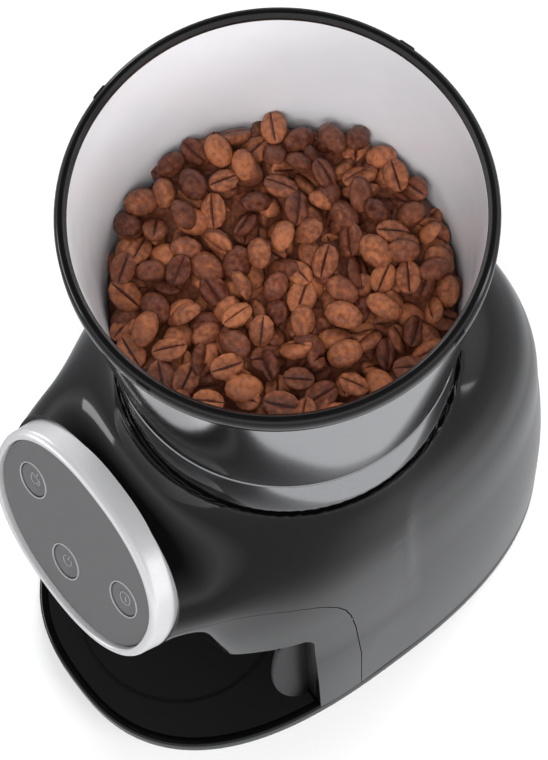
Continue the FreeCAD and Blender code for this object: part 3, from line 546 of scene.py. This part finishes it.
def split_shell():
    trim = copy_of(form, "bay_surround")
    ceiling = copy_of(solid, "bay_ceiling")
    form.name = "outer_shell"
    inner = prism("trim_cutter", parting_outline(0.0), 0.2)
    outer = prism("shell_cutter", parting_outline(0.35), 0.2)
    bay = bay_cutter()
    ceiling_side = [(-18, BAY_TOP), (-18, BAY_TOP + CEILING), (AHEAD, BAY_TOP + CEILING), (AHEAD, BAY_TOP)]
    slab = prism("ceiling_cutter", [(y * MM, z * MM) for y, z in ceiling_side], 0.2)
    cut(form, outer, "DIFFERENCE")
    cut_inlet()
    cut(trim, inner, "INTERSECT")
    cut(trim, bay, "DIFFERENCE")
    cut(ceiling, slab, "INTERSECT")
    cut(trim, ceiling, "UNION")
    for tool in (inner, outer, bay, slab, ceiling, solid):
        bpy.data.objects.remove(tool)
    for piece in (form, trim):
        activate(piece)
        bpy.ops.object.shade_smooth_by_angle(angle=math.radians(32))
        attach(piece, "housing")
        piece.data.materials.clear()
        piece.data.materials.append(GLOSS)
        print(piece.name, "faces", len(piece.data.polygons))
    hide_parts("main_shell")
    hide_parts("bay_trim")


split_shell()


# %% [markdown]
# ## Round pieces
# Hopper, rim, collar and band are turned forms. Each is a half outline spun
# round the axis in many steps, so that its edge against the light is a true
# circle, and a small bevel breaks each corner as a polishing wheel would.

# %% Round pieces
def spun(name, outline, body, material, steps=160, bevel=0.3, closed=True, angle=35):
    """Spin an outline of (radius, height) in millimetres round the grinder's axis."""
    points = [(AXIS.x + r * MM, AXIS.y, z * MM) for r, z in outline]
    count = len(points)
    edges = [(i, i + 1) for i in range(count - 1)]
    if closed:
        edges.append((count - 1, 0))
    piece = mesh_piece(name, points, [], edges)
    activate(piece)
    bpy.ops.object.mode_set(mode="EDIT")
    bpy.ops.mesh.select_all(action="SELECT")
    bpy.ops.mesh.spin(steps=steps, angle=2 * math.pi, center=tuple(AXIS), axis=(0, 0, 1))
    bpy.ops.object.mode_set(mode="OBJECT")
    outward(piece, angle)
    if bevel:
        apply_modifier(piece, "BEVEL", width=bevel * MM, segments=3, limit_method="ANGLE",
                       angle_limit=math.radians(35))
        activate(piece)
        bpy.ops.object.shade_smooth_by_angle(angle=math.radians(angle))
    piece.data.materials.append(material)
    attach(piece, body)
    print(name, "faces", len(piece.data.polygons))
    return piece


def box_mm(node):
    low_corner, high_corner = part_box(node)
    return low_corner / MM, high_corner / MM


collar_low, collar_high = box_mm("grip_collar")
collar_top_r = (collar_high.x - collar_low.x) / 2
band_r, band_z1, band_z2 = BAND_R / MM, band_low.z / MM, band_high.z / MM


def collar_r(z):
    share = (z - collar_low.z) / (collar_high.z - collar_low.z)
    return band_r + (collar_top_r - band_r) * share


z1, z2 = collar_low.z, collar_high.z
collar = spun("flared_collar", [(band_r - 1.2, z1), (band_r - 0.1, z1), (band_r, z1 + 1.2),
                                (collar_r(z2), z2), (collar_r(z2) - 1.2, z2)],
              "collar", STEEL)
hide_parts("grip_collar")
band = spun("bright_band", [(band_r - 3.4, band_z1), (band_r, band_z1), (band_r, band_z2),
                            (band_r - 3.4, band_z2)], "housing", STEEL, bevel=0.8)
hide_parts("band_ring")
rim_low, rim_high = box_mm("hopper_rim")
rim_r = (rim_high.x - rim_low.x) / 2
rim = spun("rim_band", [(rim_r - 3.0, rim_low.z), (rim_r - 0.6, rim_low.z), (rim_r, rim_low.z + 1.2),
                        (rim_r, rim_high.z - 2.2), (rim_r - 0.9, rim_high.z - 0.4),
                        (rim_r - 1.6, rim_high.z), (rim_r - 2.6, rim_high.z),
                        (rim_r - 3.8, rim_high.z - 1.6), (rim_r - 3.8, rim_high.z - 3.0)],
           "hopper", SMOKE, bevel=0.25)
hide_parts("hopper_rim")
cup_low, cup_high = box_mm("hopper_cup")
skin = 1.6
funnel = 264.0
cup = spun("clear_hopper", [
    (collar_r(cup_high.z) - skin, cup_high.z), (collar_r(cup_high.z) - skin - 2, cup_high.z),
    (collar_r(funnel) - skin - 2, funnel), (14, 226), (14, cup_low.z), (16, cup_low.z),
    (16, 224.8), (collar_r(funnel) - skin - 0.3, funnel - 2.6), (collar_r(funnel) - skin, funnel)],
    "hopper", CLEAR, bevel=0.0)
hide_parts("hopper_cup")


# %% [markdown]
# Four small lugs stand on the rim, a quarter turn apart, where the lid locks.
# One is a cube drawn to size and bevelled, and the others are turned copies.

# %% Rim lugs
def rim_lugs():
    lugs = []
    for quarter in range(4):
        deselect()
        bpy.ops.mesh.primitive_cube_add(size=1, location=(rim_r * MM - 1.1 * MM, 0, 0))
        lug = bpy.context.object
        lug.scale = (3.0 * MM, 5.5 * MM, 3.4 * MM)
        bpy.ops.object.transform_apply(location=True, rotation=False, scale=True)
        apply_modifier(lug, "BEVEL", width=0.7 * MM, segments=3)
        lug.data.transform(Matrix.Translation(AXIS + Vector((0, 0, rim_high.z * MM - 3.2 * MM)))
                           @ Matrix.Rotation(math.radians(17 + 90 * quarter), 4, "Z"))
        lugs.append(lug)
    deselect()
    for lug in lugs:
        lug.select_set(True)
    bpy.context.view_layer.objects.active = lugs[0]
    bpy.ops.object.join()
    lug = lugs[0]
    lug.name = "rim_lugs"
    lug.data.materials.append(SMOKE)
    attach(lug, "hopper")
    print("rim lugs", len(lug.data.polygons))


rim_lugs()


# %% [markdown]
# ## Oval pieces
# The bezel and the skirt are both rings with a squarish oval outline, drawn up
# row by row: one ring of points is extruded, then scaled and lifted to the next
# row, which gives any rounded section an even set of faces.

# %% Oval pieces
def oval_ring(name, rows, power, steps=144):
    """Rows of (half width, half length, height) in millimetres, closed to a ring."""
    wide, long, height = rows[0]
    points = []
    for i in range(steps):
        turn = 2 * math.pi * i / steps
        c, t = math.cos(turn), math.sin(turn)
        points.append((wide * MM * math.copysign(abs(c)**(2 / power), c),
                       long * MM * math.copysign(abs(t)**(2 / power), t), height * MM))
    piece = mesh_piece(name, points, [], [(i, (i + 1) % steps) for i in range(steps)])
    activate(piece)
    bpy.ops.object.mode_set(mode="EDIT")
    bpy.ops.mesh.select_mode(type="EDGE")
    bpy.ops.mesh.select_all(action="SELECT")
    last = rows[0]
    for row in rows[1:] + rows[:1]:
        lift = (0, 0, (row[2] - last[2]) * MM)
        bpy.ops.mesh.extrude_edges_move(TRANSFORM_OT_translate={"value": lift})
        bpy.ops.transform.resize(value=(row[0] / last[0], row[1] / last[1], 1))
        last = row
    bpy.ops.object.mode_set(mode="OBJECT")
    return piece


def rounded(radius, start, end, inset, height, steps=5):
    """Insets and heights of points on an arc about a centre, from one angle to another."""
    rows = []
    for i in range(steps + 1):
        turn = math.radians(start + (end - start) * i / steps)
        rows.append((inset - radius * math.cos(turn), height + radius * math.sin(turn)))
    return rows


def panel_matrix():
    """Takes a piece drawn flat, facing up, to its place on the tilted panel."""
    turn = Matrix((SIDE, UP, OUT)).transposed().to_4x4()
    return Matrix.Translation(PANEL_MID * MM) @ turn


bezel_half_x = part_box("bezel")[1].x / MM
bezel_half_y = bezel_half_x - 10.2
section = [(0.0, -BEZEL_DEEP), (0.5, -2.2)] + rounded(2.2, 0, 90, 2.7, -1.3)
section += rounded(0.7, 90, 180, 2.9, 0.2) + [(3.6, -1.6), (3.6, -3.0)]
bezel = oval_ring("panel_bezel", [(bezel_half_x - i, bezel_half_y - i, h) for i, h in section], 2.3)
bezel.data.transform(panel_matrix())
outward(bezel, 40)
bezel.data.materials.append(BEZEL)
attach(bezel, "housing")
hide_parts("bezel")

skirt_z1, skirt_z2 = skirt_low.z / MM, skirt_high.z / MM
section = [(0.8, skirt_z1), (0.0, skirt_z1 + 0.8)] + rounded(1.7, 0, 180, 1.7, skirt_z2 - 1.7, 8)
section += [(3.4, skirt_z2 - 3.5), (2.6, skirt_z1)]
skirt = oval_ring("base_rim", [(half_x - i, back - i, h) for i, h in section], 2.5, 200)
outward(skirt, 40)
skirt.data.materials.append(GLOSS)
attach(skirt, "housing")
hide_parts("base_skirt")
print("bezel and skirt faces", len(bezel.data.polygons), len(skirt.data.polygons))


# %% [markdown]
# ## Bay wall
# The cup stands in a round bay. Its wall is one curved sheet whose free edges
# bow forward at the middle, so it is drawn as a net of points on a cylinder,
# and Solidify gives the sheet its thickness. An upright jamb at each side
# closes the gap between the sheet and the shell.

# %% Bay wall
def bay_wall(radius=57.5, levels=24, turns=48):
    jamb_x, jamb_y, jamb_z = 57.4, -31.9, 65.0
    jamb_size = Vector((8.0, 2.0, 105.6)) * MM
    wall_low, wall_high = box_mm("bay_liner")
    seat_y = box_mm("base_tray")[0].y + 49.0
    points = []
    for j in range(levels + 1):
        share = j / levels
        z = wall_low.z + 0.2 + share * (wall_high.z - wall_low.z - 0.4)
        edge = -37.0 - 38.0 * share + 29.0 * share**2
        first = math.asin((edge - seat_y) / radius)
        for i in range(turns + 1):
            turn = first + (math.pi - 2 * first) * i / turns
            x, y = radius * math.cos(turn), seat_y + radius * math.sin(turn)
            points.append((x * MM, y * MM, z * MM))
    row = turns + 1
    faces = [(j * row + i, j * row + i + 1, (j + 1) * row + i + 1, (j + 1) * row + i)
             for j in range(levels) for i in range(turns)]
    wall = mesh_piece("bay_wall", points, faces)
    outward(wall)
    apply_modifier(wall, "SOLIDIFY", thickness=1.8 * MM, offset=1.0)
    apply_modifier(wall, "BEVEL", width=0.6 * MM, segments=3, limit_method="ANGLE",
                   angle_limit=math.radians(50))
    for side in (-1, 1):
        deselect()
        bpy.ops.mesh.primitive_cube_add(size=1, location=(side * jamb_x * MM, jamb_y * MM, jamb_z * MM))
        jamb = bpy.context.object
        jamb.scale = jamb_size
        bpy.ops.object.transform_apply(location=True, rotation=False, scale=True)
        apply_modifier(jamb, "BEVEL", width=0.4 * MM, segments=2)
        activate(wall)
        jamb.select_set(True)
        bpy.ops.object.join()
    activate(wall)
    bpy.ops.object.shade_smooth_by_angle(angle=math.radians(40))
    wall.data.materials.append(SATIN)
    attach(wall, "housing")
    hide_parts("bay_liner")
    print("bay wall seat", round(seat_y, 1), "faces", len(wall.data.polygons))


bay_wall()


# %% [markdown]
# ## Keys and their signs
# Each key has a thin bright ring round it and a printed sign: a cup for the
# dose, a power mark and a timer. Each sign is a few thin strokes, drawn as
# curves and turned into meshes, and it moves with its own key.

# %% Key rings and signs
def arc(cx, cy, radius, start, end, steps=18):
    return [(cx + radius * math.cos(math.radians(start + (end - start) * i / steps)),
             cy + radius * math.sin(math.radians(start + (end - start) * i / steps)))
            for i in range(steps + 1)]


def strokes(name, lines, at, height, thick):
    """Thin round strokes in the panel's plane, joined to one mesh."""
    deselect()
    data = bpy.data.curves.new(name, "CURVE")
    data.dimensions = "3D"
    data.bevel_depth = thick * MM
    data.bevel_resolution = 1
    for line in lines:
        spline = data.splines.new("POLY")
        spline.points.add(len(line) - 1)
        for point, (u, v) in zip(spline.points, line):
            point.co = ((at[0] + u) * MM, (at[1] + v) * MM, height * MM, 1)
    piece = bpy.data.objects.new(name, data)
    bpy.context.scene.collection.objects.link(piece)
    activate(piece)
    bpy.ops.object.convert(target="MESH")
    piece = bpy.context.object
    piece.data.transform(panel_matrix())
    bpy.ops.object.shade_smooth()
    piece.data.materials.append(PRINT)
    return piece


# How far the keys stand to the side of the panel's middle and above it, in millimetres
KEY_SIDE, KEY_UP, MIDDLE_UP = 25.9, 2.5, -13.2
SPOTS = {"left": (-KEY_SIDE, KEY_UP), "middle": (0.0, MIDDLE_UP), "right": (KEY_SIDE, KEY_UP)}
SIGNS = {
    "left": [[(-2.2, 1.4), (-1.9, -0.9), (-1.1, -1.8), (0.7, -1.8), (1.5, -0.9), (1.8, 1.4),
              (-2.2, 1.4)],
             arc(1.7, 0.2, 1.0, 80, -80, 8), arc(-0.2, 2.7, 0.5, -90, 90, 6)],
    "middle": [arc(0, 0, 2.1, 125, 415), [(0, 0.5), (0, 2.7)]],
    "right": [arc(0, 0, 2.5, 0, 360, 28), [(0, 1.7), (0, 0), (1.1, -0.8)]],
}
for key, at in SPOTS.items():
    sign = strokes("sign_" + key, SIGNS[key], at, -1.72, 0.16)
    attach(sign, key + "_key")
ring_lines = [[(x + u, y + v) for u, v in arc(0, 0, 6.75, 0, 360, 64)] for x, y in SPOTS.values()]
rings = strokes("key_rings", ring_lines, (0, 0), -0.95, 0.3)
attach(rings, "housing")
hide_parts("button_rings")
print("signs at", SPOTS)


# %% [markdown]
# ## Beans for the portrait
# Roasted beans show what the hopper is for. They aren't part of the grinder, so
# they are stage dressing, as the floor is. One bean is a small ball, drawn long,
# flattened below and creased, and its crease is painted darker as shade. Every
# other one is a turned copy of it.

# %% Beans
def roasted():
    """Medium-roasted beans: oily brown skins, each a little lighter or darker at random, with painted shade
    darkening each crease.
    """
    material = blank("roasted_bean")
    place = add(material, "ShaderNodeTexCoord")
    # This attribute holds each bean's random tone plus the painted shade of its crease.
    roast_and_crease_shade = add(material, "ShaderNodeAttribute", attribute_name="roast_and_crease_shade")
    noise = add(material, "ShaderNodeTexNoise", [(place, "Object", "Vector")],
                Scale=1.0 / (1.6 * MM), Detail=3.0)
    share = add(material, "ShaderNodeMath", [(noise, 0, 0), (roast_and_crease_shade, "Fac", 1)], operation="ADD")
    tone = add(material, "ShaderNodeValToRGB", [(share, 0, "Fac")])
    tone.color_ramp.elements[0].position = 0.25
    tone.color_ramp.elements[0].color = colour("#3f1b11")
    tone.color_ramp.elements[1].position = 1.35 / 1.4
    tone.color_ramp.elements[1].color = colour("#a2623f")
    middle = tone.color_ramp.elements.new(0.62)
    middle.color = colour("#6e3f2c")
    bump = add(material, "ShaderNodeBump", [(noise, 0, "Height")], Strength=1.0, Distance=0.12 * MM)
    shader = add(material, "ShaderNodeBsdfPrincipled",
                 [(tone, "Color", "Base Color"), (bump, "Normal", "Normal")],
                 Roughness=0.42, IOR=1.47)
    add(material, "ShaderNodeOutputMaterial", [(shader, "BSDF", "Surface")])
    return material


def one_bean():
    """A bean 11 mm long: its flat side faces down and has a crease, whose points are painted darker as shade."""
    deselect()
    bpy.ops.mesh.primitive_uv_sphere_add(segments=12, ring_count=6, radius=1)
    bean = bpy.context.object
    bean.data.transform(Matrix.Rotation(math.radians(90), 4, "Y"))
    points = np.array([v.co for v in bean.data.vertices])
    faces = [tuple(p.vertices) for p in bean.data.polygons]
    bpy.data.objects.remove(bean)
    around = np.degrees(np.arctan2(points[:, 2], points[:, 1]))
    reach = np.hypot(points[:, 1], points[:, 2])
    bottom = (np.abs(around + 90) < 5) & (reach > 0.1)
    beside = (np.abs(np.abs(around + 90) - 30) < 5) & (reach > 0.1)
    points[points[:, 2] < 0, 2] *= 0.4
    points[beside, 1] *= 0.3
    points[bottom, 2] += 0.4 * reach[bottom]
    # The crease points get -0.75 in the third value: painted shade that darkens the groove.
    return points * np.array([5.7, 4.3, 3.7]), faces, np.where(bottom, -0.75, 0.0)


def bean_heap(level, reach, apart=7.6, tries=5200):
    """Three loose layers of beans, thrown at random but never closer than a bean's width."""
    shape, faces, crease = one_bean()
    seeded = np.random.default_rng(7)
    points, all_faces, roasts_and_crease_shade = [], [], []
    for drop in (0.0, -4.2, -8.4):
        spots = []
        for _ in range(tries):
            r, turn = reach * math.sqrt(seeded.random()), 2 * math.pi * seeded.random()
            spot = np.array([r * math.cos(turn), r * math.sin(turn)])
            if all(np.hypot(*(spot - other)) > apart for other in spots):
                spots.append(spot)
        for spot in spots:
            scale = seeded.uniform(0.86, 1.1)
            flip = 180 if seeded.random() < 0.6 else 0
            turn = (Matrix.Rotation(seeded.uniform(0, 2 * math.pi), 3, "Z")
                    @ Matrix.Rotation(math.radians(seeded.normal(0, 22)), 3, "Y")
                    @ Matrix.Rotation(math.radians(flip + seeded.normal(0, 26)), 3, "X"))
            lift = level + drop + seeded.uniform(-1.6, 2.4) - 2.5 * (np.hypot(*spot) / reach)**2
            placed = shape * scale @ np.array(turn).T
            placed += np.array([spot[0], spot[1] + AXIS.y / MM, lift])
            start = sum(len(p) for p in points)
            points.append(placed)
            all_faces += [tuple(i + start for i in face) for face in faces]
            # Each bean's tone varies at random, and its crease points add painted shade.
            roasts_and_crease_shade += list(crease + seeded.uniform(-0.12, 0.4))
    heap = mesh_piece("beans", np.vstack(points) * MM, all_faces)
    roast_and_crease_shade = heap.data.attributes.new("roast_and_crease_shade", "FLOAT", "POINT")
    roast_and_crease_shade.data.foreach_set("value", roasts_and_crease_shade)
    return heap


CUP_LEVEL = 290.0
beans = bean_heap(CUP_LEVEL, 51.5)
activate(beans)
bpy.ops.object.shade_smooth()
beans.data.materials.append(roasted())
bed = spun("bean_bed", [(0.0, CUP_LEVEL - 12.0), (54.0, CUP_LEVEL - 12.0), (50.0, CUP_LEVEL - 7.0),
                        (0.0, CUP_LEVEL - 7.0)], "hopper", beans.data.materials[0],
           steps=48, bevel=0, closed=False)
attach(beans, "hopper")
print("beans faces", len(beans.data.polygons))


# %% [markdown]
# ## Materials of the working pieces
# Everything inside keeps its working shape and only gets its finish.

# %% Finishes by slot
FINISH = {
    "gloss_black": GLOSS, "satin_black": SATIN, "satin_silver": BEZEL, "grey_panel": PANEL,
    "bright_steel": STEEL, "clear_plastic": CLEAR, "smoke_rim": SMOKE, "rubber": RUBBER,
    "steel": MACHINED, "zinc": DIECAST, "nylon": NYLON, "board": BOARD, "parts_grey": GREY,
    "magnet": MAGNET,
}
for entry in frame["record"]["subparts"]:
    node = nodes[entry["node"]]
    node.data.materials.clear()
    node.data.materials.append(FINISH[entry["material_slot"]])
print("finished nodes", len(nodes))
